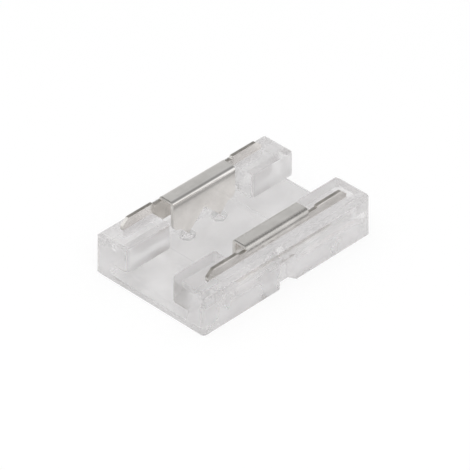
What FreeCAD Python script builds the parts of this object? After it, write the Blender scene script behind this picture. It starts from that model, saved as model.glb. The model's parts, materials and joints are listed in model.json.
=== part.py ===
import FreeCAD, Part
import math
import os
from FreeCAD import Vector

# Two-contact joint for an LED strip: one clear moulded housing and two folded sheet contacts.
# All sizes are in millimetres. +X runs along the strip, +Z is up, and the origin is the
# middle of the housing's bottom face. The contacts stand raised, ready to be pressed in.

# Strip that the connector takes
strip_width = 8.0
strip_side_clearance = 0.15
slot_height = 0.6
pad_inset = 0.55

# Contact sheet
sheet = 0.3
bend_radius = 0.4
bridge_length = 7.0
bridge_width = 1.6
bridge_rise = 0.18
blade_grip = 3.23
blade_height = 2.13
blade_top_chamfer_x = 0.65
blade_top_chamfer_z = 0.55
blade_foot_radius = 0.7
wing_length = 2.45
wing_rise = 0.8
leg_corner_radius = 0.3
relief_length = 0.95
relief_radius = 0.1
wall_corner_radius = 0.7
corner_share_of_run = 0.9
tooth_spacing = 3.6
tooth_half_width = 0.88
tooth_gap_height = 0.8
tooth_tip_flat = 0.06

# How far a contact travels when it is pressed, and what it then clears
press_travel = 0.65
blade_seat_clearance = 0.05
shoulder_clearance = 0.35
tip_clearance = 0.12
groove_side_clearance = 0.03
groove_end_clearance = 0.05
cup_side_clearance = 0.05

# Housing
floor_thickness = 1.0
ledge_height = 0.95
groove_depth = 1.95
side_wall = 1.14
end_wall = 1.65
bay_margin = 1.12
lip_overhang = 1.69
wall_draft = 0.06
corner_radius = 0.4
top_edge_chamfer = 0.38
bottom_edge_chamfer = 0.08
lip_corner_radius = 0.28
cup_depth = 0.65
cup_foot_radius = 0.15
entry_flare_length = 0.45
entry_flare_height = 0.08
entry_flare_side = 0.2
floor_lead_in_length = 1.2
floor_lead_in_drop = 0.38
pad_recess_margin = 0.5
pad_recess_depth = 0.04

# Notches in the middle of the long sides, each with a small catch under its roof
notch_outer_half = 0.95
notch_inner_half = 0.6
notch_depth = 0.66
notch_height = 2.45
notch_edge_radius = 0.15
catch_half_width = 0.3
catch_height = 0.5
catch_reach = 0.3

# Places across the strip, measured from the middle plane
tooth_row = strip_width / 2 - pad_inset
slot_half = strip_width / 2 + strip_side_clearance
jaw_half = slot_half - lip_overhang
wall_inner = tooth_row - sheet / 2
wall_outer = tooth_row + sheet / 2
blade_outer = wall_inner + bridge_width
blade_inner = blade_outer - sheet
groove_inner = blade_inner - groove_side_clearance
groove_outer = blade_outer + groove_side_clearance
housing_half_width = groove_outer + side_wall

# Places along the strip, measured from the middle plane
bridge_half = bridge_length / 2
bay_half = bridge_half + bay_margin
blade_half = bay_half + blade_grip
leg_half = blade_half - wing_length
groove_half = blade_half + groove_end_clearance
housing_half_length = groove_half + end_wall
tooth_x = tooth_spacing / 2

# Heights of the housing
floor_top = floor_thickness
slot_top = floor_top + slot_height
ledge_top = floor_top + ledge_height
housing_top = ledge_top + groove_depth
cup_floor = floor_top - cup_depth

# Heights of a raised contact
blade_low = ledge_top + blade_seat_clearance + press_travel
wing_low = blade_low + wing_rise
blade_top = blade_low + blade_height
bridge_top = blade_top + bridge_rise
bend_start = bridge_top - bend_radius
tip_z = cup_floor + tip_clearance + press_travel
shoulder_z = floor_top + shoulder_clearance + press_travel
gap_top_z = shoulder_z + tooth_gap_height

# Width of a pressed tooth where it passes the floor, on its wider side, and the cup round it
tip_half = tooth_tip_flat / 2
sunk = floor_top - (tip_z - press_travel)
inner_flank = (tooth_x - tip_half) / (gap_top_z - tip_z)
outer_flank = (tooth_half_width - tip_half) / (shoulder_z - tip_z)
sunk_half = tip_half + sunk * max(inner_flank, outer_flank)
cup_radius = math.hypot(sunk_half, sheet / 2) + cup_side_clearance

# How far cutting tools reach past the face that they cut
past = 1.0


def box(x_low, x_high, y_low, y_high, z_low, z_high):
    """Block between two corners."""
    size = (x_high - x_low, y_high - y_low, z_high - z_low)
    return Part.makeBox(*size, Vector(x_low, y_low, z_low))


def along_y(outline, y_low, y_high):
    """Prism of an outline of (x, z) points."""
    points = [Vector(x, y_low, z) for x, z in outline]
    face = Part.Face(Part.makePolygon(points + points[:1]))
    return face.extrude(Vector(0, y_high - y_low, 0))


def along_x(outline, x_low, x_high):
    """Prism of an outline of (y, z) points."""
    points = [Vector(x_low, y, z) for y, z in outline]
    face = Part.Face(Part.makePolygon(points + points[:1]))
    return face.extrude(Vector(x_high - x_low, 0, 0))


def along_z(outline, z_low, z_high):
    """Prism of an outline of (x, y) points."""
    points = [Vector(x, y, z_low) for x, y in outline]
    face = Part.Face(Part.makePolygon(points + points[:1]))
    return face.extrude(Vector(0, 0, z_high - z_low))


def edges_at(shape, direction, places):
    """Straight edges along a direction whose middle lies at one of the places.

    A place is a point with None for each coordinate that doesn't matter.
    """
    found = []
    for edge in shape.Edges:
        start, end = edge.Vertexes[0].Point, edge.Vertexes[-1].Point
        run = end - start
        if run.Length < 1e-6 or abs(abs(run.normalize().dot(direction)) - 1) > 1e-3:
            continue
        middle = (start + end) * 0.5
        for place in places:
            gaps = [abs(m - p) for m, p in zip(middle, place) if p is not None]
            if max(gaps) < 1e-3:
                found.append(edge)
                break
    return found


def both_sides(shape, normal):
    """A shape and its mirror image in the middle plane with that normal."""
    return [shape, shape.mirror(Vector(0, 0, 0), normal)]


def rounded_rectangle(half_x, half_y, radius, z):
    """Closed outline with round corners at one height."""
    spots = [(half_x - radius, half_y - radius, 0), (radius - half_x, half_y - radius, 90)]
    spots += [(radius - half_x, radius - half_y, 180), (half_x - radius, radius - half_y, 270)]
    arcs = []
    for x, y, turn in spots:
        circle = Part.Circle(Vector(x, y, z), Vector(0, 0, 1), radius)
        arcs.append(circle.toShape(math.radians(turn), math.radians(turn + 90)))
    edges = []
    for arc, after in zip(arcs, arcs[1:] + arcs[:1]):
        edges += [arc, Part.makeLine(arc.Vertexes[-1].Point, after.Vertexes[0].Point)]
    return Part.Wire(edges)


def outer_block():
    """Housing's outside: drafted walls, round corners and bevelled edges."""
    foot = rounded_rectangle(housing_half_length, housing_half_width, corner_radius, 0)
    top_x = housing_half_length - wall_draft
    top_y = housing_half_width - wall_draft
    head = rounded_rectangle(top_x, top_y, corner_radius, housing_top)
    block = Part.makeLoft([foot, head], True, True)
    bevel = [
        (top_y - top_edge_chamfer, housing_top),
        (top_y + past, housing_top + past + top_edge_chamfer),
        (top_y + past, housing_top - top_edge_chamfer - past),
        (top_y, housing_top - top_edge_chamfer),
    ]
    reach = housing_half_length + past
    cutters = both_sides(along_x(bevel, -reach, reach), Vector(0, 1, 0))
    under = [
        (housing_half_length - bottom_edge_chamfer, 0),
        (housing_half_length - bottom_edge_chamfer - past, -past),
        (housing_half_length + past, -past),
        (housing_half_length + past, bottom_edge_chamfer + past),
        (housing_half_length, bottom_edge_chamfer),
    ]
    side = housing_half_width + past
    cutters += both_sides(along_y(under, -side, side), Vector(1, 0, 0))
    return block.cut(cutters)


def strip_channel():
    """Space for the strip: the slot under the lips, the gap between them and the entries."""
    reach = housing_half_length + past
    slot = box(-reach, reach, -slot_half, slot_half, floor_top, slot_top)
    jaw = box(-reach, reach, -jaw_half, jaw_half, floor_top, housing_top + past)
    flare_start = housing_half_length - entry_flare_length
    slope = (housing_half_length + past - flare_start) / entry_flare_length
    wide = slot_half + entry_flare_side * slope
    high = slot_top + entry_flare_height * slope
    sections = []
    for x, half, top in ((flare_start, slot_half, slot_top), (reach, wide, high)):
        corners = [(-half, floor_top), (half, floor_top), (half, top), (-half, top), (-half, floor_top)]
        sections.append(Part.makePolygon([Vector(x, y, z) for y, z in corners]))
    flare = Part.makeLoft(sections, True, True)
    ramp_start = housing_half_length - floor_lead_in_length
    drop = floor_lead_in_drop * (reach - ramp_start) / floor_lead_in_length
    lead_in = [
        (ramp_start, floor_top),
        (reach, floor_top - drop),
        (reach, slot_top),
        (ramp_start, slot_top),
    ]
    ramp = along_y(lead_in, -slot_half, slot_half)
    return [slot, jaw] + both_sides(flare, Vector(1, 0, 0)) + both_sides(ramp, Vector(1, 0, 0))


def middle_bay():
    """Room for the two bridges: no lips, and the ledges end level with the groove floors."""
    roof = housing_top + past
    open_floor = box(-bay_half, bay_half, -slot_half, slot_half, floor_top, roof)
    over_ledges = box(-bay_half, bay_half, -groove_outer, groove_outer, ledge_top, roof)
    recess_half = bay_half - pad_recess_margin
    recess_floor = floor_top - pad_recess_depth
    pads = box(-recess_half, recess_half, -slot_half, slot_half, recess_floor, slot_top)
    return [open_floor, over_ledges, pads]


def blade_grooves():
    """One groove a side, with round foot corners that follow the blade's own."""
    groove = box(-groove_half, groove_half, groove_inner, groove_outer, ledge_top, housing_top + past)
    feet = [(-groove_half, None, ledge_top), (groove_half, None, ledge_top)]
    foot_radius = blade_foot_radius + groove_end_clearance
    groove = groove.makeFillet(foot_radius, edges_at(groove, Vector(0, 1, 0), feet))
    return both_sides(groove, Vector(0, 1, 0))


def tooth_cup(x, y):
    """Blind round cup in the floor that takes the tip of a pressed tooth."""
    cup = Part.makeCylinder(cup_radius, cup_depth + past, Vector(x, y, cup_floor))
    foot = [edge for edge in cup.Edges if edge.BoundBox.ZMax < cup_floor + 1e-6]
    return cup.makeFillet(cup_foot_radius, foot)


def tooth_cups():
    """Four cups, one under each tooth."""
    places = [(x, y) for x in (-tooth_x, tooth_x) for y in (-tooth_row, tooth_row)]
    return [tooth_cup(x, y) for x, y in places]


def side_notch():
    """Flared notch with round mouth edges in a long side, and a wedge-shaped catch under its roof."""
    back = housing_half_width - notch_depth
    front = housing_half_width
    right = [
        (notch_inner_half, back),
        (notch_outer_half, front),
        (notch_outer_half + past, front),
        (notch_outer_half + past, front + past),
    ]
    outline = right + [(-x, y) for x, y in reversed(right)]
    notch = along_z(outline, -past, notch_height)
    mouth = [(x, front, None) for x in (-notch_outer_half, notch_outer_half)]
    notch = notch.makeFillet(notch_edge_radius, edges_at(notch, Vector(0, 0, 1), mouth))
    wedge = [
        (back - past, notch_height + past),
        (back + catch_reach, notch_height + past),
        (back + catch_reach, notch_height - catch_height / 2),
        (back, notch_height - catch_height),
        (back - past, notch_height - catch_height),
    ]
    return notch.cut(along_x(wedge, -catch_half_width, catch_half_width))


def housing():
    """Clear moulded housing."""
    body = outer_block()
    cutters = strip_channel() + middle_bay() + blade_grooves() + tooth_cups()
    cutters += both_sides(side_notch(), Vector(0, 1, 0))
    body = body.cut(cutters).removeSplitter()
    return round_lips(body)


def round_lips(body):
    """Rounds the upright corners where the four lips begin and end."""
    up = Vector(0, 0, 1)
    ends = [(x, y, None) for x in (-bay_half, bay_half) for y in (-jaw_half, jaw_half)]
    return body.makeFillet(lip_corner_radius, edges_at(body, up, ends))


def blade_outline():
    """Blade seen from the side: a deep leg, shallower wings, and a dip beside each end of the bridge."""
    relief_end = bridge_half + relief_length
    right = [
        (leg_half, blade_low),
        (leg_half, wing_low),
        (blade_half, wing_low),
        (blade_half, blade_top - blade_top_chamfer_z),
        (blade_half - blade_top_chamfer_x, blade_top),
        (relief_end, blade_top),
        (relief_end, bend_start),
    ]
    return right + [(-x, z) for x, z in reversed(right)]


def blade():
    """Upright strip of sheet that stands in the groove."""
    plate = along_y(blade_outline(), blade_inner, blade_outer)
    across = Vector(0, 1, 0)
    feet = [(-blade_half, None, wing_low), (blade_half, None, wing_low)]
    plate = plate.makeFillet(blade_foot_radius, edges_at(plate, across, feet))
    corners = [(-leg_half, None, blade_low), (leg_half, None, blade_low)]
    plate = plate.makeFillet(leg_corner_radius, edges_at(plate, across, corners))
    relief_end = bridge_half + relief_length
    dips = [(x, None, z) for x in (-relief_end, relief_end) for z in (bend_start, blade_top)]
    return plate.makeFillet(relief_radius, edges_at(plate, across, dips))


def bridge():
    """Sheet folded over in an upside-down U, from the blade to the toothed wall."""
    inner_bend = bend_radius - sheet
    legs = box(-bridge_half, bridge_half, wall_inner, blade_outer, tip_z, bridge_top)
    along = Vector(1, 0, 0)
    crown = [(None, y, bridge_top) for y in (wall_inner, blade_outer)]
    legs = legs.makeFillet(bend_radius, edges_at(legs, along, crown))
    roof = bridge_top - sheet
    hollow = box(-bridge_half - past, bridge_half + past, wall_outer, blade_inner, tip_z - past, roof)
    under = [(None, y, roof) for y in (wall_outer, blade_inner)]
    hollow = hollow.makeFillet(inner_bend, edges_at(hollow, along, under))
    below_blade = box(-bridge_half - past, bridge_half + past, blade_inner, blade_outer + past, 0, blade_low)
    return legs.cut([hollow, below_blade])


def tooth_cutter():
    """Everything below the toothed edge of the inner wall."""
    right = [
        (tooth_x - tip_half, tip_z),
        (tooth_x + tip_half, tip_z),
        (tooth_x + tooth_half_width, shoulder_z),
        (bridge_half + past, shoulder_z),
        (bridge_half + past, tip_z - past),
    ]
    outline = [(0, gap_top_z)] + right + [(-x, z) for x, z in reversed(right)]
    return along_y(outline, wall_inner - past, (wall_outer + blade_inner) / 2)


def contact():
    """One folded contact in its raised place at +Y."""
    folded = bridge().cut(tooth_cutter())
    across = Vector(0, 1, 0)
    corners = [(-bridge_half, None, shoulder_z), (bridge_half, None, shoulder_z)]
    run = bridge_half - tooth_x - tooth_half_width
    radius = min(wall_corner_radius, run * corner_share_of_run)
    folded = folded.makeFillet(radius, edges_at(folded, across, corners))
    return folded.fuse(blade()).removeSplitter()


def export(node, shape):
    """Writes one named piece and prints what it is."""
    if not shape.isValid() or len(shape.Solids) != 1:
        raise RuntimeError(f"{node} isn't one valid solid")
    shape.Solids[0].exportStep(f"parts/{node}.step")
    limits = shape.BoundBox
    print(f"{node}: {shape.Volume:.3f} mm3, z {limits.ZMin:.2f} to {limits.ZMax:.2f}")


def main():
    """Builds the three pieces."""
    os.makedirs("parts", exist_ok=True)
    back_contact = contact()
    pieces = {
        "housing": housing(),
        "back_contact": back_contact,
        "front_contact": back_contact.mirror(Vector(0, 0, 0), Vector(0, 1, 0)),
    }
    for node, shape in pieces.items():
        export(node, shape)


main()
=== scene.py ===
"""Looks of the clear strip joint with its two folded sheet contacts.

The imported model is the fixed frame. The housing and both contacts are dressed copies of their CAD
solids, with softened edges and finishes of their own. All lengths are in metres unless a name ends
in _mm.
"""

import json
import logging
import math
from collections.abc import Iterable
from dataclasses import dataclass, field, replace
from enum import Enum

import bmesh
import bpy
from mathutils import Euler, Matrix, Vector

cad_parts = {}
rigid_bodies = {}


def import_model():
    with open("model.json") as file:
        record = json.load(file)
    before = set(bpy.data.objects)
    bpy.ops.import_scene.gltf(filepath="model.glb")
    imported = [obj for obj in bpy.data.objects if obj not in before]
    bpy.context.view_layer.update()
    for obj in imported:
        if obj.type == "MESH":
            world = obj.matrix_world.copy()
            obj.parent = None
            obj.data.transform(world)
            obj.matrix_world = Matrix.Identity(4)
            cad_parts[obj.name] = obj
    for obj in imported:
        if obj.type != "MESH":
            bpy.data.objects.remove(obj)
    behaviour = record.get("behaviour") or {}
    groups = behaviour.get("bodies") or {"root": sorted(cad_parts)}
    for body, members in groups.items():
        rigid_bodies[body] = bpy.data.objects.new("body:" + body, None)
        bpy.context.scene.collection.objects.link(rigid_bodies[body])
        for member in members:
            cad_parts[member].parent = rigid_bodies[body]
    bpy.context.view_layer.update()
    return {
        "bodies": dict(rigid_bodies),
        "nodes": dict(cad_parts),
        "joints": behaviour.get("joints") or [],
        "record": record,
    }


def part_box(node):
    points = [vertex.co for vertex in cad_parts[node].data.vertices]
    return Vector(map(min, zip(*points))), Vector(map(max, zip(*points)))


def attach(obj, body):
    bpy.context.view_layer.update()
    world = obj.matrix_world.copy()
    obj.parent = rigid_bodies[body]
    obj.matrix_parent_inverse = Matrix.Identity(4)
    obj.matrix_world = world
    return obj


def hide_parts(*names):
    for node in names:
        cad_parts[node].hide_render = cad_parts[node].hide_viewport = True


log = logging.getLogger("strip_joint")

MM = 0.001

# Corners nearer than this are one, also where a cut passes through a corner.
SNAP_MM = 0.001
# Neighbouring faces that turn by less than this are one flat face.
FLAT_DEGREES = 0.5

# Sockets of a Mix node that mixes colours.
MIX_FIRST, MIX_SECOND, MIX_RESULT = 6, 7, 2

Colour = tuple[float, float, float]
Socket = bpy.types.NodeSocket


class Zone(Enum):
    """Part of a contact's sheet that takes its own finish."""

    WING = 0
    LEG = 1
    # Inner faces of the U, which take painted shade.
    INSIDE = 2
    CROWN = 3
    BEND = 4
    CUT_EDGE = 5
    END_EDGE = 6
    CHAMFER = 7


class Skin(Enum):
    """Part of the housing's skin that takes its own finish."""

    POLISHED = 0
    FROSTED = 1
    # Back cups' walls, which take painted light.
    WHITENED = 2
    MOULDED = 3
    SHADED = 4


def set_input(node: bpy.types.Node, name: str, value: object) -> None:
    """Sets one input of a node by its name."""
    node.inputs[name].default_value = value


def grey(value: float) -> tuple[float, float, float, float]:
    """Gives an opaque grey as a node's colour value."""
    return (value, value, value, 1.0)


def grey_stops(greys: Iterable[tuple[float, float]]) -> list[tuple[float, Colour]]:
    """Turns places and greys into the stops of a colour ramp."""
    return [(place, (value, value, value)) for place, value in greys]


@dataclass
class Graph:
    """Small helper that adds nodes to a tree and joins them.

    Args:
        tree: Node tree that is being filled.
        spacing: Distance between the nodes in the editor.
    """

    tree: bpy.types.NodeTree
    spacing: int = 180
    column: int = field(default=0, init=False)

    def add(self, kind: str, **settings: object) -> bpy.types.Node:
        """Adds a node and sets its plain properties.

        Args:
            kind: Blender's name of the node type.
            **settings: Properties of the node.

        Returns:
            The new node.
        """
        node = self.tree.nodes.new(kind)
        node.location = (self.column * self.spacing, 0)
        self.column += 1
        for name, value in settings.items():
            setattr(node, name, value)
        return node

    def join(self, source: Socket, target: Socket) -> None:
        """Links an output to an input."""
        self.tree.links.new(source, target)

    def give(self, value: object, target: Socket) -> None:
        """Links a socket to an input, or sets the input to a plain value."""
        if isinstance(value, Socket):
            self.join(value, target)
        else:
            target.default_value = value

    def math(
        self, operation: str, first: object, second: object = 0.0, clamp: bool = False
    ) -> Socket:
        """Adds a Math node.

        Args:
            operation: Name of the operation.
            first: Socket or number on the first input.
            second: Socket or number on the second input.
            clamp: Whether the result stays between 0 and 1.

        Returns:
            The node's output.
        """
        node = self.add("ShaderNodeMath", operation=operation, use_clamp=clamp)
        self.give(first, node.inputs[0])
        self.give(second, node.inputs[1])
        return node.outputs[0]

    def ramp(self, source: Socket, stops: list[tuple[float, Colour]]) -> Socket:
        """Adds a colour ramp.

        Args:
            source: Value that runs along the ramp.
            stops: Places and colours, in rising order.

        Returns:
            The colour output.
        """
        node = self.add("ShaderNodeValToRGB")
        band = node.color_ramp
        while len(band.elements) < len(stops):
            band.elements.new(0.5)
        for element, (place, colour) in zip(band.elements, stops):
            element.position = place
            element.color = (*colour, 1.0)
        self.join(source, node.inputs[0])
        return node.outputs[0]

    def spread(self, source: Socket, given: tuple[float, float], to: tuple[float, float]) -> Socket:
        """Adds a Map Range node.

        Args:
            source: Value that is spread out.
            given: Lowest and highest value that count at the input.
            to: What the two become.

        Returns:
            The node's output.
        """
        node = self.add("ShaderNodeMapRange")
        self.join(source, node.inputs["Value"])
        for name, value in zip(("From Min", "From Max", "To Min", "To Max"), (*given, *to)):
            set_input(node, name, value)
        return node.outputs["Result"]

    def mixed_colour(
        self, mask: object, first: object, second: object, blend: str = "MIX"
    ) -> Socket:
        """Mixes two colours.

        Args:
            mask: Socket or number, 0 for the first colour alone.
            first: First colour or socket.
            second: Second colour or socket.
            blend: How the second colour is laid on the first.

        Returns:
            The colour output.
        """
        node = self.add("ShaderNodeMix", data_type="RGBA", blend_type=blend)
        self.give(mask, node.inputs[0])
        self.give(first, node.inputs[MIX_FIRST])
        self.give(second, node.inputs[MIX_SECOND])
        return node.outputs[MIX_RESULT]

    def mixed_shader(self, mask: Socket, first: Socket, second: Socket) -> Socket:
        """Mixes two shaders.

        Args:
            mask: 0 for the first shader alone.
            first: First shader.
            second: Second shader.

        Returns:
            The shader output.
        """
        node = self.add("ShaderNodeMixShader")
        for source, target in zip((mask, first, second), node.inputs):
            self.join(source, target)
        return node.outputs[0]

    def finish(self, shader: Socket, output: str = "ShaderNodeOutputMaterial") -> None:
        """Joins a shader to the tree's output."""
        self.join(shader, self.add(output).inputs["Surface"])


def new_material(name: str) -> tuple[bpy.types.Material, Graph]:
    """Makes a material without nodes.

    Args:
        name: Name of the material.

    Returns:
        The material and a helper that fills it.
    """
    material = bpy.data.materials.new(name)
    material.use_nodes = True
    material.node_tree.nodes.clear()
    return material, Graph(material.node_tree)


def new_group(
    name: str, inputs: dict[str, float], outputs: tuple[str, ...]
) -> tuple[bpy.types.NodeTree, Graph]:
    """Makes an empty shader group with named number sockets.

    Args:
        name: Name of the group.
        inputs: Names and defaults of its inputs.
        outputs: Names of its outputs.

    Returns:
        The group and a helper that fills it.
    """
    tree = bpy.data.node_groups.new(name, "ShaderNodeTree")
    kind = "NodeSocketFloat"
    for label, default in inputs.items():
        made = tree.interface.new_socket(name=label, in_out="INPUT", socket_type=kind)
        made.default_value = default
    for label in outputs:
        tree.interface.new_socket(name=label, in_out="OUTPUT", socket_type=kind)
    return tree, Graph(tree)


def surface_wear_group() -> bpy.types.NodeTree:
    """Soft clouds and fine grain that plastic and metal both use, each with its own values.

    Returns:
        A group that gives a cloud mask, a grain mask and a height.
    """
    inputs = {"Cloud Scale": 400.0, "Grain Scale": 4000.0, "Grain Share": 0.3}
    details = {"Cloud Scale": 3.0, "Grain Scale": 2.0}
    tree, g = new_group("surface wear", inputs, ("Clouds", "Grain", "Height"))
    given = g.add("NodeGroupInput")
    place = g.add("ShaderNodeTexCoord")
    noises = []
    for scale, detail in details.items():
        noise = g.add("ShaderNodeTexNoise", noise_dimensions="3D")
        g.join(place.outputs["Object"], noise.inputs["Vector"])
        g.join(given.outputs[scale], noise.inputs["Scale"])
        set_input(noise, "Detail", detail)
        noises.append(noise.outputs["Fac"])
    clouds, grain = noises
    share = given.outputs["Grain Share"]
    coarse = g.math("MULTIPLY", clouds, g.math("SUBTRACT", 1.0, share))
    fine = g.math("MULTIPLY", grain, share)
    result = g.add("NodeGroupOutput")
    g.join(clouds, result.inputs["Clouds"])
    g.join(grain, result.inputs["Grain"])
    g.join(g.math("ADD", coarse, fine), result.inputs["Height"])
    return tree


@dataclass(frozen=True)
class Wear:
    """How one material uses the shared clouds and grain.

    Args:
        cloud_scale: Scale of the soft clouds.
        grain_scale: Scale of the fine grain.
        grain_share: Share of the grain in the relief.
        relief_mm: Height of the relief.
        strength: Strength of the relief.
    """

    cloud_scale: float
    grain_scale: float
    grain_share: float
    relief_mm: float
    strength: float

    def marks(self, g: Graph, group: bpy.types.NodeTree) -> bpy.types.Node:
        """Adds the shared group with this wear's values.

        Args:
            g: Helper of the material's tree.
            group: Shared group of clouds and grain.

        Returns:
            The group's node.
        """
        marks = g.add("ShaderNodeGroup", node_tree=group)
        set_input(marks, "Cloud Scale", self.cloud_scale)
        set_input(marks, "Grain Scale", self.grain_scale)
        set_input(marks, "Grain Share", self.grain_share)
        return marks

    def relief(self, g: Graph, marks: bpy.types.Node, skin: bpy.types.Node) -> None:
        """Gives a shader the relief of its wear.

        Args:
            g: Helper of the material's tree.
            marks: The group's node.
            skin: Shader that takes the relief.
        """
        bump = g.add("ShaderNodeBump")
        set_input(bump, "Strength", self.strength)
        set_input(bump, "Distance", self.relief_mm * MM)
        g.join(marks.outputs["Height"], bump.inputs["Height"])
        g.join(bump.outputs["Normal"], skin.inputs["Normal"])


PLASTIC_WEAR = Wear(
    cloud_scale=320.0, grain_scale=2600.0, grain_share=0.05, relief_mm=0.012, strength=0.06
)
SHEET_WEAR = Wear(
    cloud_scale=700.0, grain_scale=9000.0, grain_share=0.5, relief_mm=0.004, strength=0.2
)
CUT_WEAR = replace(SHEET_WEAR, cloud_scale=1500.0)


@dataclass(frozen=True)
class ClearPlasticFinish:
    """Clear moulded plastic with a faint haze and a slightly uneven skin.

    Light that keeps being turned back inside the block is scattered by a real moulding. After
    trapped_depth turns the material gives it an even light instead.

    Args:
        name: Name of the material.
        tint_low: Colour of the greyer clouds.
        tint_high: Colour of the clearer clouds.
        haze_low: Roughness of the clearer clouds.
        haze_high: Roughness of the greyer clouds.
        clearness: Share of the light that goes in.
        ior: Index of refraction.
        clouds: Cloud values between which tint and haze change.
        trapped_depth: Number of turns after which light counts as trapped.
        trapped_light: Light that stands in for it.
        wear: How the material uses the shared clouds and grain.
    """

    name: str
    tint_low: Colour = (0.84, 0.83, 0.83)
    tint_high: Colour = (0.92, 0.91, 0.91)
    haze_low: float = 0.14
    haze_high: float = 0.26
    clearness: float = 0.98
    ior: float = 1.55
    clouds: tuple[float, float] = (0.35, 0.65)
    trapped_depth: float = 4.5
    trapped_light: Colour = (0.78, 0.77, 0.77)
    wear: Wear = PLASTIC_WEAR

    def make(self, group: bpy.types.NodeTree) -> bpy.types.Material:
        """Builds the material.

        Args:
            group: Shared group of clouds and grain.

        Returns:
            The finished material.
        """
        material, g = new_material(self.name)
        marks = self.wear.marks(g, group)
        skin = g.add("ShaderNodeBsdfPrincipled")
        set_input(skin, "Transmission Weight", self.clearness)
        set_input(skin, "IOR", self.ior)
        tints = list(zip(self.clouds, (self.tint_low, self.tint_high)))
        g.join(g.ramp(marks.outputs["Clouds"], tints), skin.inputs["Base Color"])
        haze = g.spread(marks.outputs["Clouds"], self.clouds, (self.haze_high, self.haze_low))
        g.join(haze, skin.inputs["Roughness"])
        self.wear.relief(g, marks, skin)
        path = g.add("ShaderNodeLightPath")
        trapped = g.math("GREATER_THAN", path.outputs["Ray Depth"], self.trapped_depth)
        scattered = g.add("ShaderNodeEmission")
        set_input(scattered, "Color", (*self.trapped_light, 1.0))
        g.finish(g.mixed_shader(trapped, skin.outputs["BSDF"], scattered.outputs[0]))
        return material


HOUSING_FINISHES: dict[Skin, ClearPlasticFinish] = {
    Skin.POLISHED: ClearPlasticFinish("clear moulded plastic"),
    Skin.FROSTED: ClearPlasticFinish("frosted plastic", haze_low=0.3, haze_high=0.45),
    # Painted light: near-white, half clear walls make the back cups read bright.
    Skin.WHITENED: ClearPlasticFinish(
        "cup plastic with painted light",
        tint_low=(0.97, 0.97, 0.97),
        tint_high=(0.99, 0.99, 0.99),
        haze_low=0.3,
        haze_high=0.4,
        clearness=0.6,
    ),
    Skin.MOULDED: ClearPlasticFinish("moulded plastic", haze_low=0.18, haze_high=0.3),
    # Painted shade: a darker tint on the foot band and on the top strip beside the front groove.
    Skin.SHADED: ClearPlasticFinish(
        "shaded plastic",
        tint_low=(0.75, 0.74, 0.74),
        tint_high=(0.83, 0.82, 0.82),
        haze_low=0.18,
        haze_high=0.3,
    ),
}


@dataclass(frozen=True)
class SheetFinish:
    """Nickel-plated sheet: warm grey, with a faint rolling grain and softly mottled plating.

    Args:
        name: Name of the material.
        dull: Colour of the duller patches.
        bright: Colour of the brighter patches.
        roughness: Lowest and highest roughness.
        metallic: 1 for bare plating, less for a torn or burred edge.
        marks_span: Cloud and grain values between which colour and roughness change.
        wear: How the material uses the shared clouds and grain.
        painted_light_bands: Heights in mm and the painted light and shade there, as a factor on the
            colour.
    """

    name: str
    dull: Colour
    bright: Colour
    roughness: tuple[float, float] = (0.1, 0.22)
    metallic: float = 1.0
    marks_span: tuple[float, float] = (0.3, 0.7)
    wear: Wear = SHEET_WEAR
    painted_light_bands: tuple[tuple[float, float], ...] = ()

    def with_painted_bands(self, g: Graph, colour: Socket) -> Socket:
        """Paints light and shade on a colour in bands of height.

        Args:
            g: Helper of the material's tree.
            colour: Colour without the bands.

        Returns:
            Colour with the bands.
        """
        if not self.painted_light_bands:
            return colour
        place = g.add("ShaderNodeTexCoord")
        parts = g.add("ShaderNodeSeparateXYZ")
        g.join(place.outputs["Object"], parts.inputs[0])
        low, high = self.painted_light_bands[0][0], self.painted_light_bands[-1][0]
        rise = g.spread(parts.outputs["Z"], (low * MM, high * MM), (0.0, 1.0))
        stops = [((height - low) / (high - low), share) for height, share in self.painted_light_bands]
        return g.mixed_colour(1.0, colour, g.ramp(rise, grey_stops(stops)), "MULTIPLY")

    def make(self, group: bpy.types.NodeTree) -> bpy.types.Material:
        """Builds the material.

        Args:
            group: Shared group of clouds and grain.

        Returns:
            The finished material.
        """
        material, g = new_material(self.name)
        marks = self.wear.marks(g, group)
        skin = g.add("ShaderNodeBsdfPrincipled")
        set_input(skin, "Metallic", self.metallic)
        patches = list(zip(self.marks_span, (self.dull, self.bright)))
        mottled = g.ramp(marks.outputs["Clouds"], patches)
        g.join(self.with_painted_bands(g, mottled), skin.inputs["Base Color"])
        rough = g.spread(marks.outputs["Grain"], self.marks_span, self.roughness)
        g.join(rough, skin.inputs["Roughness"])
        self.wear.relief(g, marks, skin)
        g.finish(skin.outputs["BSDF"])
        return material


CUT_EDGE = SheetFinish(
    "cut sheet edge", (0.32, 0.305, 0.28), (0.56, 0.535, 0.50), (0.25, 0.45), wear=CUT_WEAR
)
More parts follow.
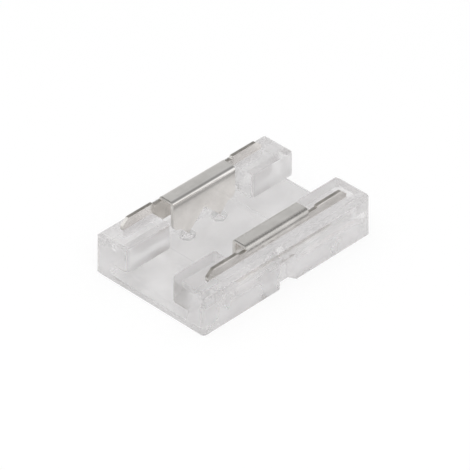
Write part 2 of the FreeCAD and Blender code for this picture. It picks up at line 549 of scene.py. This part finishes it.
# Painted light: the sheared ends are a lighter, half matt copy of the cut edge, and the bands paint
# a dark line along their top.
END_EDGE = SheetFinish(
    "sheared end edge with painted light",
    (0.66, 0.64, 0.61),
    (0.86, 0.84, 0.81),
    (0.3, 0.5),
    metallic=0.2,
    wear=CUT_WEAR,
    painted_light_bands=((4.6, 1.0), (4.84, 0.8), (4.88, 0.3), (4.96, 0.3)),
)
SHARED_FINISHES: dict[Zone, SheetFinish] = {
    # Painted shade on the inner faces of the U between blade and wall.
    Zone.INSIDE: SheetFinish("shaded inside", (0.70, 0.685, 0.66), (0.83, 0.81, 0.785)),
    Zone.CROWN: SheetFinish("plated crown", (0.80, 0.78, 0.75), (0.93, 0.91, 0.88)),
    Zone.CUT_EDGE: CUT_EDGE,
    Zone.END_EDGE: END_EDGE,
}
BACK_FINISHES: dict[Zone, SheetFinish] = {
    **SHARED_FINISHES,
    # Painted light: the back wings are a lighter copy of the same plating.
    Zone.WING: SheetFinish("wing with painted light", (0.86, 0.84, 0.81), (0.97, 0.95, 0.92)),
    # Painted reflection: bands darken the leg towards the bend, with a dark line just under it.
    Zone.LEG: SheetFinish(
        "back leg with painted reflections",
        (0.82, 0.80, 0.77),
        (0.95, 0.93, 0.90),
        painted_light_bands=(
            (2.8, 1.0), (3.6, 0.93), (4.0, 0.86), (4.22, 0.76),
            (4.36, 0.56), (4.46, 0.56), (4.56, 0.66),
        ),
    ),
    # Painted highlight: a lighter copy of the plating on the back bend.
    Zone.BEND: SheetFinish("bend with painted highlight", (0.88, 0.86, 0.83), (0.97, 0.95, 0.93)),
    # The back chamfers take the same painted light.
    Zone.CHAMFER: END_EDGE,
}
FRONT_FINISHES: dict[Zone, SheetFinish] = {
    **SHARED_FINISHES,
    # Painted shade: the front wings are a darker copy of the same plating.
    Zone.WING: SheetFinish("wing with painted shade", (0.66, 0.64, 0.615), (0.78, 0.76, 0.735)),
    # Painted reflection: a light band and a dark line under the bend, on a darker copy of the
    # plating.
    Zone.LEG: SheetFinish(
        "front leg with painted reflections",
        (0.74, 0.72, 0.69),
        (0.87, 0.85, 0.82),
        painted_light_bands=(
            (3.95, 0.88), (4.12, 0.95), (4.22, 1.05), (4.32, 0.95),
            (4.4, 0.6), (4.5, 0.6), (4.56, 0.66),
        ),
    ),
    # Painted light and shade: a darker copy of the plating, whose bands paint a dark line low on
    # the bend and a highlight higher up.
    Zone.BEND: SheetFinish(
        "bend with painted highlight and dark lines",
        (0.60, 0.585, 0.56),
        (0.72, 0.70, 0.675),
        (0.2, 0.3),
        painted_light_bands=(
            (4.56, 0.54), (4.63, 0.75), (4.70, 0.93), (4.76, 0.98), (4.817, 1.24),
            (4.866, 1.3), (4.906, 1.0), (4.936, 1.08), (4.96, 1.14),
        ),
    ),
    Zone.CHAMFER: CUT_EDGE,
}


def merged_copy(node: bpy.types.Object, name: str, weld_mm: float = SNAP_MM) -> bpy.types.Object:
    """Copies a CAD node into a new object with joined corners and flat faces made whole.

    Args:
        node: CAD node as it was loaded.
        name: Name of the new piece.
        weld_mm: Distance under which corners are one.

    Returns:
        The new object, at the origin.
    """
    mesh = node.data.copy()
    mesh.name = name
    mesh.materials.clear()
    piece = bpy.data.objects.new(name, mesh)
    bpy.context.scene.collection.objects.link(piece)
    bm = bmesh.new()
    bm.from_mesh(mesh)
    bmesh.ops.remove_doubles(bm, verts=bm.verts, dist=weld_mm * MM)
    flat = math.radians(FLAT_DEGREES)
    bmesh.ops.dissolve_limit(bm, angle_limit=flat, verts=bm.verts, edges=bm.edges)
    bmesh.ops.recalc_face_normals(bm, faces=bm.faces)
    bm.to_mesh(mesh)
    bm.free()
    return piece


def cut_across(bm: bmesh.types.BMesh, axis: int, place: float) -> None:
    """Cuts a mesh's faces at one place along an axis and keeps both sides.

    Args:
        bm: Mesh that is cut.
        axis: 0, 1 or 2 for X, Y or Z.
        place: Where the cut lies on the axis.
    """
    along = Vector((0.0, 0.0, 0.0))
    along[axis] = 1.0
    geometry = list(bm.verts) + list(bm.edges) + list(bm.faces)
    bmesh.ops.bisect_plane(
        bm, geom=geometry, dist=SNAP_MM * MM, plane_co=along * place, plane_no=along
    )


def smooth_by_angle(mesh: bpy.types.Mesh, degrees: float) -> None:
    """Shades faces smooth and keeps edges sharper than an angle crisp.

    Args:
        mesh: Mesh of a finished piece.
        degrees: Angle from which an edge is crisp.
    """
    bm = bmesh.new()
    bm.from_mesh(mesh)
    limit = math.radians(degrees)
    for face in bm.faces:
        face.smooth = True
    for edge in bm.edges:
        edge.smooth = len(edge.link_faces) == 2 and edge.calc_face_angle(0.0) < limit
    bm.to_mesh(mesh)
    bm.free()


@dataclass
class ClearHousing:
    """Moulded housing: the block with its lips, grooves, cups and notches.

    The copy gets rounded outside edges. Its four lips are the jaws that hold the strips down, and
    their outer corners are rounded too.

    Args:
        node: Name of the CAD node.
        body: Name of the body it rides on.
    """

    node: str = "housing"
    body: str = "housing"
    smooth_degrees: float = 40.0
    weld_mm: float = 0.02

    # Rounded edges. The second ring of edges lies part of the way round each arc. The slack takes
    # in the points that lie right on a lip's free side.
    wall_draft_mm: float = 0.06
    edge_radius_mm: float = 0.36
    arc_share: float = 0.586
    jaw_half_mm: float = 2.46
    jaw_radius_mm: float = 0.5
    jaw_low_mm: float = 1.59
    jaw_slack: float = 1.01

    # Where the skins meet.
    bay_half_mm: float = 4.62
    slot_top_mm: float = 1.6
    jaw_face_mm: float = 2.9
    outer_wall_mm: float = 5.8
    outer_end_mm: float = 9.3
    foot_band_mm: float = 0.62
    strip_inner_mm: float = 4.96
    strip_low_mm: float = 3.5
    cup_place_mm: tuple[float, float] = (1.8, 3.45)
    cup_reach_mm: float = 0.75
    cup_rim_mm: float = 0.95

    # How much of a face's normal has to lie along an axis, or may lie along Z if it is upright.
    facing: float = 0.7
    level: float = 0.95
    upright: float = 0.5

    def skin_of(self, face: bmesh.types.BMFace) -> Skin:
        """Tells which skin a face has.

        Args:
            face: Face of the copy.

        Returns:
            Painted light on the back cups' walls, frosted on the jaws, painted shade round the foot
            and beside the front groove, moulded on the long walls, and polished elsewhere.
        """
        middle = face.calc_center_median() / MM
        x, y = abs(middle.x), abs(middle.y)
        along, across = (abs(part) > self.facing for part in face.normal.xy)
        from_cup = math.hypot(x - self.cup_place_mm[0], middle.y - self.cup_place_mm[1])
        in_cup = from_cup < self.cup_reach_mm and middle.z < self.cup_rim_mm
        # Painted light on the cup walls.
        if in_cup and abs(face.normal.z) < self.upright:
            return Skin.WHITENED
        in_jaw = x > self.bay_half_mm and y < self.jaw_face_mm and middle.z > self.slot_top_mm
        if in_jaw and across:
            return Skin.FROSTED
        on_wall = y > self.outer_wall_mm and across
        on_end = x > self.outer_end_mm and along
        # Painted shade round the foot.
        if (on_wall or on_end) and middle.z < self.foot_band_mm:
            return Skin.SHADED
        if (on_wall or on_end) and y > self.outer_wall_mm:
            return Skin.MOULDED
        # Painted shade on the strip beside the front groove.
        on_strip = middle.y < -self.strip_inner_mm and middle.z > self.strip_low_mm
        if on_strip and face.normal.z > self.level:
            return Skin.SHADED
        return Skin.POLISHED

    def cut_rings(self, bm: bmesh.types.BMesh, high: Vector) -> None:
        """Cuts the edges that the roundings turn on and those where the skins meet.

        Args:
            bm: Mesh of the merged copy.
            high: Highest corner of the housing's box.
        """
        edge, jaw = self.edge_radius_mm * MM, self.jaw_radius_mm * MM
        end, mouth = high.x - self.wall_draft_mm * MM, self.jaw_half_mm * MM
        shares = (1.0, self.arc_share)
        places = [(2, self.foot_band_mm * MM), (1, -self.strip_inner_mm * MM)]
        places += [(2, high.z - edge * share) for share in shares]
        for share in shares:
            for side in (-1, 1):
                places += [(0, side * (end - edge * share)), (0, side * (end - jaw * share))]
                places += [(1, side * (high.y - edge * share)), (1, side * (mouth + jaw * share))]
        for axis, place in places:
            cut_across(bm, axis, place)

    def on_block(self, point: Vector, high: Vector, draft: float) -> Vector:
        """Moves a point that stands proud of the rounded block onto its skin.

        Args:
            point: A corner of the mesh.
            high: Highest corner of the housing's box.
            draft: How far the walls lean in at the point's height.

        Returns:
            The point's new place.
        """
        radius = self.edge_radius_mm * MM
        core = Vector((high.x - draft - radius, high.y - draft - radius, high.z - radius))
        near = Vector((
            max(min(point.x, core.x), -core.x),
            max(min(point.y, core.y), -core.y),
            min(point.z, core.z),
        ))
        proud = point - near
        return near + proud.normalized() * radius if proud.length > radius else point

    def on_jaw(self, point: Vector, high: Vector, draft: float) -> Vector:
        """Moves a point at the outer corner of a lip onto the corner's upright rounding.

        Args:
            point: A corner of the mesh.
            high: Highest corner of the housing's box.
            draft: How far the walls lean in at the point's height.

        Returns:
            The point's new place.
        """
        radius = self.jaw_radius_mm * MM
        along = abs(point.x) - (high.x - draft - radius)
        inwards = self.jaw_half_mm * MM + radius - abs(point.y)
        reach = math.hypot(along, inwards)
        under = point.z < self.jaw_low_mm * MM
        beside = min(along, inwards) <= 0 or inwards > radius * self.jaw_slack
        if under or beside or reach <= radius:
            return point
        move = 1 - radius / reach
        back = math.copysign(along * move, point.x)
        out = math.copysign(inwards * move, point.y)
        return point + Vector((-back, out, 0.0))

    def round_edges(self, mesh: bpy.types.Mesh, high: Vector) -> None:
        """Rounds the block's outside edges and its lips' corners, then tells the skins apart.

        Args:
            mesh: Mesh of the merged copy.
            high: Highest corner of the housing's box.
        """
        bm = bmesh.new()
        bm.from_mesh(mesh)
        self.cut_rings(bm, high)
        for vert in bm.verts:
            draft = self.wall_draft_mm * MM * vert.co.z / high.z
            vert.co = self.on_jaw(self.on_block(vert.co, high, draft), high, draft)
        for face in bm.faces:
            face.material_index = self.skin_of(face).value
        bm.to_mesh(mesh)
        bm.free()

    def build(self, frame: dict, group: bpy.types.NodeTree) -> bpy.types.Object:
        """Makes the dressed housing.

        Args:
            group: Shared group of clouds and grain.

        Returns:
            The new piece.
        """
        piece = merged_copy(frame["nodes"][self.node], "clear_housing", self.weld_mm)
        self.round_edges(piece.data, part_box(self.node)[1])
        smooth_by_angle(piece.data, self.smooth_degrees)
        for skin in Skin:
            piece.data.materials.append(HOUSING_FINISHES[skin].make(group))
        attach(piece, self.body)
        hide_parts(self.node)
        log.info("housing: %d faces", len(piece.data.polygons))
        return piece


@dataclass
class FoldedContact:
    """One folded sheet contact: blade, bridge and toothed wall.

    Args:
        node: Name of the CAD node, which is also its body's.
        name: Name of the new piece.
        finishes: Finish of each zone.
    """

    node: str
    name: str
    finishes: dict[Zone, SheetFinish]
    smooth_degrees: float = 28.0

    # The sheet, and where its zones meet.
    sheet_mm: float = 0.3
    bend_mm: float = 0.4
    bridge_half_mm: float = 3.5
    bay_half_mm: float = 4.62
    inside_mm: tuple[float, float] = (3.55, 4.65)
    level_gap_mm: float = 0.02

    # How much of a face's normal lies along an axis where its zone changes.
    leaning: float = 0.05
    square: float = 0.99
    end_square: float = 0.97
    end_facing: float = 0.5
    level: float = 0.9

    def zone_of(self, face: bmesh.types.BMFace, top: float) -> Zone:
        """Tells the sheet's plated faces from its bends and cut edges.

        Args:
            face: Face of the merged copy.
            top: Height of the bridge's top.

        Returns:
            The face's zone.
        """
        lean_x, lean_y, lean_z = (abs(part) for part in face.normal)
        middle = face.calc_center_median()
        along, across = abs(middle.x) / MM, abs(middle.y) / MM
        if self.leaning < lean_y < self.square and middle.z > top - self.bend_mm * MM:
            return Zone.BEND
        if lean_y > self.leaning:
            # Painted shade inside the U.
            if along < self.bay_half_mm and self.inside_mm[0] < across < self.inside_mm[1]:
                return Zone.INSIDE
            return Zone.LEG if along < self.bridge_half_mm else Zone.WING
        if lean_x > self.end_facing:
            return Zone.END_EDGE if lean_x > self.end_square else Zone.CHAMFER
        under = top - self.sheet_mm * MM
        on_crown = min(abs(middle.z - top), abs(middle.z - under)) < self.level_gap_mm * MM
        return Zone.CROWN if lean_z > self.level and on_crown else Zone.CUT_EDGE

    def build(self, frame: dict, group: bpy.types.NodeTree) -> bpy.types.Object:
        """Makes the dressed contact.

        Args:
            group: Shared group of clouds and grain.

        Returns:
            The new piece.
        """
        piece = merged_copy(frame["nodes"][self.node], self.name)
        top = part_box(self.node)[1].z
        mesh = piece.data
        for zone in Zone:
            mesh.materials.append(self.finishes[zone].make(group))
        bm = bmesh.new()
        bm.from_mesh(mesh)
        for half_mm in (self.bridge_half_mm, self.bay_half_mm):
            for side in (1, -1):
                cut_across(bm, 0, side * half_mm * MM)
        for face in bm.faces:
            face.material_index = self.zone_of(face, top).value
        bm.to_mesh(mesh)
        bm.free()
        smooth_by_angle(mesh, self.smooth_degrees)
        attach(piece, self.node)
        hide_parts(self.node)
        log.info("%s: %d faces", self.name, len(mesh.polygons))
        return piece


def facing_angles(direction: Vector) -> Euler:
    """Gives the turn of a lamp or camera that faces a direction."""
    return direction.to_track_quat("-Z", "Y").to_euler()


@dataclass(frozen=True)
class Lamp:
    """One soft square lamp that faces the object.

    Args:
        name: Name of the lamp.
        place: Where it hangs.
        size: Side of the square.
        power: Power in watts.
    """

    name: str
    place: tuple[float, float, float]
    size: float
    power: float

    def hang(self) -> bpy.types.Object:
        """Adds the lamp, which the plastic doesn't let through.

        Returns:
            The lamp object.
        """
        data = bpy.data.lights.new(self.name, "AREA")
        data.shape = "SQUARE"
        data.size = self.size
        data.energy = self.power
        lamp = bpy.data.objects.new(self.name, data)
        bpy.context.scene.collection.objects.link(lamp)
        lamp.location = self.place
        lamp.rotation_euler = facing_angles(-Vector(self.place))
        lamp.visible_transmission = False
        return lamp


@dataclass
class Studio:
    """Floor, surroundings, lamps and the camera of the photograph.

    The surroundings are white to the camera. Mirrored light and light that comes through the
    plastic each meet greys of their own there, and all other light meets one grey. The greys run
    round the X axis: from 0 at the +Y horizon, through the zenith, to 1 at the -Y horizon.
    """

    camera_azimuth: float = -45.372
    camera_elevation: float = 36.999
    camera_distance: float = 0.3373
    target_right_mm: float = 0.0913
    target_up_mm: float = 1.343
    lens: float = 322.5
    sensor_width: float = 36.0
    clip: tuple[float, float] = (0.01, 10.0)
    light_bounces: int = 32
    floor_half: float = 0.6
    floor_drop_mm: float = 0.01
    floor_grey: float = 0.9
    floor_glow: float = 0.85
    floor_glow_through: float = 0.65
    room_grey: float = 0.8
    mirrored_greys: tuple[tuple[float, float], ...] = (
        (0.0, 0.66), (0.2, 0.58), (0.26, 0.55), (0.37, 0.5), (0.48, 0.39),
        (0.59, 0.26), (0.70, 0.29), (0.80, 0.56), (0.88, 1.0), (1.0, 1.0),
    )
    through_greys: tuple[tuple[float, float], ...] = (
        (0.0, 0.9), (0.25, 0.8), (0.5, 0.85), (0.75, 0.85), (1.0, 0.8),
    )
    lamps: tuple[Lamp, ...] = (
        Lamp("key lamp", (-0.12, -0.16, 0.24), size=0.2, power=0.3),
        Lamp("top lamp", (-0.05, 0.05, 0.3), size=0.25, power=0.15),
    )

    def floor_material(self) -> bpy.types.Material:
        """Makes the pale floor's material, whose glow leaves the object's shadow to be seen.

        Returns:
            The finished material.
        """
        material, g = new_material("pale floor")
        matt = g.add("ShaderNodeBsdfDiffuse")
        set_input(matt, "Color", grey(self.floor_grey))
        white = g.add("ShaderNodeEmission")
        set_input(white, "Color", grey(1.0))
        path = g.add("ShaderNodeLightPath")
        open_view = g.math("MAXIMUM", path.outputs["Is Camera Ray"], path.outputs["Is Glossy Ray"])
        seen = g.math("MULTIPLY", open_view, self.floor_glow)
        loss = self.floor_glow - self.floor_glow_through
        held_back = g.math("MULTIPLY", path.outputs["Is Transmission Ray"], loss)
        glow = g.math("SUBTRACT", seen, held_back, clamp=True)
        g.finish(g.mixed_shader(glow, matt.outputs[0], white.outputs[0]))
        return material

    def floor(self) -> bpy.types.Object:
        """Adds the pale floor.

        Returns:
            The floor object.
        """
        mesh = bpy.data.meshes.new("floor")
        bm = bmesh.new()
        bmesh.ops.create_grid(bm, x_segments=2, y_segments=2, size=self.floor_half)
        bm.to_mesh(mesh)
        bm.free()
        mesh.transform(Matrix.Translation((0, 0, -self.floor_drop_mm * MM)))
        mesh.materials.append(self.floor_material())
        plane = bpy.data.objects.new("floor", mesh)
        bpy.context.scene.collection.objects.link(plane)
        return plane

    def surroundings(self) -> None:
        """Fills the world with the white and the greys that each kind of light meets."""
        world = bpy.data.worlds.new("studio")
        bpy.context.scene.world = world
        world.use_nodes = True
        world.node_tree.nodes.clear()
        g = Graph(world.node_tree)
        place = g.add("ShaderNodeTexCoord")
        parts = g.add("ShaderNodeSeparateXYZ")
        g.join(place.outputs["Generated"], parts.inputs[0])
        turn = g.math("ARCTAN2", parts.outputs["Z"], parts.outputs["Y"])
        share = g.math("DIVIDE", turn, math.pi, clamp=True)
        mirrored = g.ramp(share, grey_stops(self.mirrored_greys))
        through = g.ramp(share, grey_stops(self.through_greys))
        path = g.add("ShaderNodeLightPath")
        colour = g.mixed_colour(path.outputs["Is Glossy Ray"], grey(self.room_grey), mirrored)
        colour = g.mixed_colour(path.outputs["Is Transmission Ray"], colour, through)
        colour = g.mixed_colour(path.outputs["Is Camera Ray"], colour, grey(1.0))
        ground = g.add("ShaderNodeBackground")
        g.join(colour, ground.inputs["Color"])
        g.finish(ground.outputs[0], "ShaderNodeOutputWorld")

    def camera(self) -> bpy.types.Object:
        """Adds the camera at the photograph's angle.

        Returns:
            The camera object.
        """
        turn, rise = math.radians(self.camera_azimuth), math.radians(self.camera_elevation)
        level = math.cos(rise)
        back = Vector((math.sin(turn) * level, -math.cos(turn) * level, math.sin(rise)))
        right = Vector((math.cos(turn), math.sin(turn), 0.0))
        up = back.cross(right)
        place = back * self.camera_distance
        target = (right * self.target_right_mm + up * self.target_up_mm) * MM
        data = bpy.data.cameras.new("camera")
        data.lens = self.lens
        data.sensor_width = self.sensor_width
        data.clip_start, data.clip_end = self.clip
        camera = bpy.data.objects.new("camera", data)
        bpy.context.scene.collection.objects.link(camera)
        camera.location = place
        camera.rotation_euler = facing_angles(target - place)
        bpy.context.scene.camera = camera
        return camera

    def build(self) -> None:
        """Sets the whole studio up."""
        bpy.context.scene.view_settings.view_transform = "Standard"
        paths = bpy.context.scene.cycles
        paths.max_bounces = self.light_bounces
        paths.glossy_bounces = self.light_bounces
        paths.transmission_bounces = self.light_bounces
        self.camera()
        self.floor()
        self.surroundings()
        for lamp in self.lamps:
            lamp.hang()
        log.info("studio is set")


def main() -> None:
    """Loads the frame, dresses it and sets the studio."""
    logging.basicConfig(level=logging.INFO, format="%(name)s: %(message)s")
    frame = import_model()
    group = surface_wear_group()
    ClearHousing().build(frame, group)
    FoldedContact("back_contact", "folded_back_contact", BACK_FINISHES).build(frame, group)
    FoldedContact("front_contact", "folded_front_contact", FRONT_FINISHES).build(frame, group)
    Studio().build()


if __name__ == "__main__":
    main()
